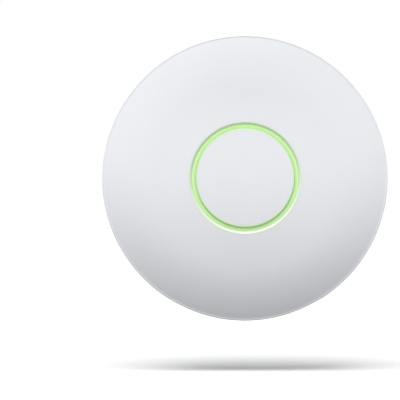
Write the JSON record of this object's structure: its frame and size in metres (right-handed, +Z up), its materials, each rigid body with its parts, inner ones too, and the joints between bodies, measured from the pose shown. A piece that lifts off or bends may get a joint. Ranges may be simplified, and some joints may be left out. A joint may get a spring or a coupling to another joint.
{
  "type": "ceiling access point",
  "caption": "Round domed white wireless access point with a sunken light ring, on a twist-lock mounting bracket with a rear cable bay and network socket.",
  "frame": {"origin": "middle of the mounting bracket's flat back, which is also the middle of its four screw holes", "axes": "+Y out of the bracket's back, into the wall or ceiling; -Y out of the domed face; +Z up as it hangs on a wall, from the middle towards the network socket; +X to the viewer's right when facing the dome. On a ceiling the part is turned a quarter turn about X so that the dome faces down."},
  "size_m": [0.2, 0.0365, 0.2],
  "materials": {
    "cover_plastic": "satin white",
    "cap_plastic": "satin white",
    "light_guide": "milky, lit pale green",
    "baffle_plastic": "matt white",
    "lamp": "clear over a green lamp",
    "rear_plastic": "fine texture",
    "cast_metal": "die cast, bead blasted",
    "bracket_plastic": "fine texture",
    "finger_plastic": "fine texture",
    "label_film": "blank, satin",
    "circuit_board": "green solder mask",
    "chip_black": "matt",
    "crystal_can": "bright",
    "ferrite": "matt",
    "can_sleeve": "bright",
    "ceramic_parts": "matt",
    "tinned_steel": "tinned",
    "heat_pad": "soft, matt",
    "antenna_metal": "nickel plated",
    "socket_plastic": "matt black",
    "gold_contacts": "gold plated",
    "switch_plastic": "matt black",
    "plunger_plastic": "red",
    "screw_steel": "zinc plated"
  },
  "bodies": {
    "bracket": {"mounting_bracket": "bracket_plastic"},
    "lock": {"lock_finger": "finger_plastic"},
    "access_point": {"front_cover": "cover_plastic", "centre_cap": "cap_plastic", "light_ring": "light_guide", "light_baffle": "baffle_plastic", "ring_lamps": "lamp", "rear_housing": "rear_plastic", "cast_base": "cast_metal", "rating_label": "label_film", "main_board": "circuit_board", "processor_chip": "chip_black", "radio_chip": "chip_black", "memory_chip": "chip_black", "flash_chip": "chip_black", "voltage_regulator": "chip_black", "crystal": "crystal_can", "network_transformer": "chip_black", "power_inductor": "ferrite", "power_controller": "chip_black", "bridge_rectifiers": "chip_black", "power_capacitors": "can_sleeve", "small_components": "ceramic_parts", "shield_frame": "tinned_steel", "shield_lid": "tinned_steel", "chip_heat_pad": "heat_pad", "base_heat_pad": "heat_pad", "antenna_left": "antenna_metal", "antenna_right": "antenna_metal", "socket_housing": "socket_plastic", "socket_shield": "tinned_steel", "socket_pins": "gold_contacts", "switch_body": "switch_plastic", "switch_cover": "tinned_steel", "housing_screws": "screw_steel", "base_screws": "screw_steel", "board_screws": "screw_steel"},
    "contacts": {"socket_contacts": "gold_contacts"},
    "reset": {"reset_plunger": "plunger_plastic"}
  },
  "joints": [
    {"name": "mount_twist", "type": "hinge", "parent": "bracket", "child": "access_point", "pos_m": [0, 0, 0], "axis": [0, -1, 0], "range_deg": [0, 20]},
    {"name": "lock_flex", "type": "hinge", "parent": "bracket", "child": "lock", "pos_m": [0.03188, -0.0017, 0.038], "axis": [0, 1, 0], "range_deg": [0, 3.5]},
    {"name": "contact_flex", "type": "hinge", "parent": "access_point", "child": "contacts", "pos_m": [0, -0.0224, 0.0362], "axis": [1, 0, 0], "range_deg": [0, 9], "stiffness_Nm_per_rad": 0.3},
    {"name": "reset_press", "type": "slide", "parent": "access_point", "child": "reset", "axis": [0, 0, 1], "range_m": [0, 0.00025], "stiffness_N_per_m": 6400}
  ],
  "couplings": [
    {"joint": "lock_flex", "follows": "mount_twist", "ratio": 0.172}
  ]
}
